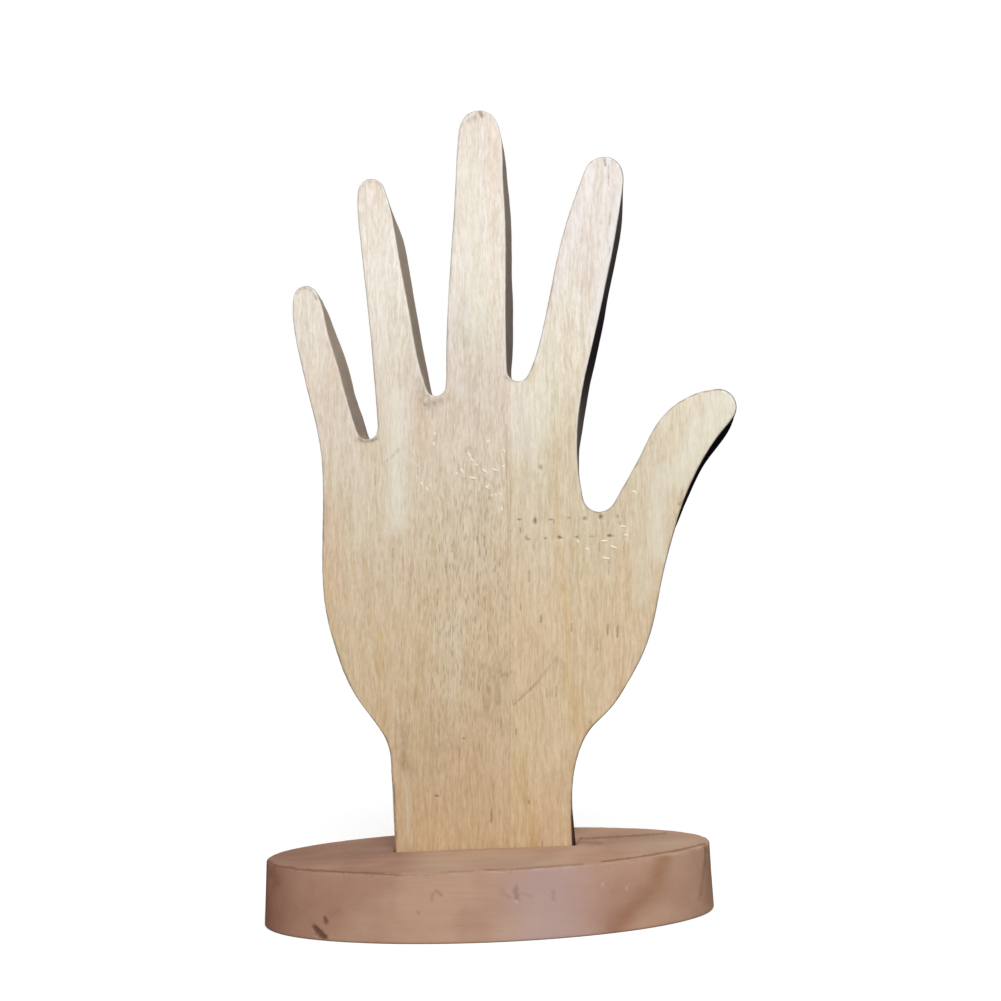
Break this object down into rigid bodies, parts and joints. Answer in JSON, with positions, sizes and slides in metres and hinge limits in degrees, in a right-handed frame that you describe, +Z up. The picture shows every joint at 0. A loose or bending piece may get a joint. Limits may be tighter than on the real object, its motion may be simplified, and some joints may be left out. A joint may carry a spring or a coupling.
{
  "type": "wooden display hand",
  "caption": "Flat open hand sawn from a glued-up wooden board, standing upright by its wrist in an oval wooden base.",
  "frame": {"origin": "centre of the base's underside", "axes": "+Z up, +X to the right of a viewer who looks at the hand's face, which is the thumb's side, +Y away from that viewer"},
  "size_m": [0.1123, 0.0578, 0.18],
  "materials": {
    "base_wood": "raw sanded pinkish-brown hardwood",
    "hand_wood": "raw sanded pale wood with fine dark flecks",
    "hand_wood_pale": "raw sanded pale wood",
    "screw_steel": "zinc-plated steel"
  },
  "bodies": {
    "root": {"oval_base": "base_wood", "hand_finger_stave": "hand_wood", "hand_thumb_stave": "hand_wood_pale", "base_screws": "screw_steel"}
  },
  "joints": []
}
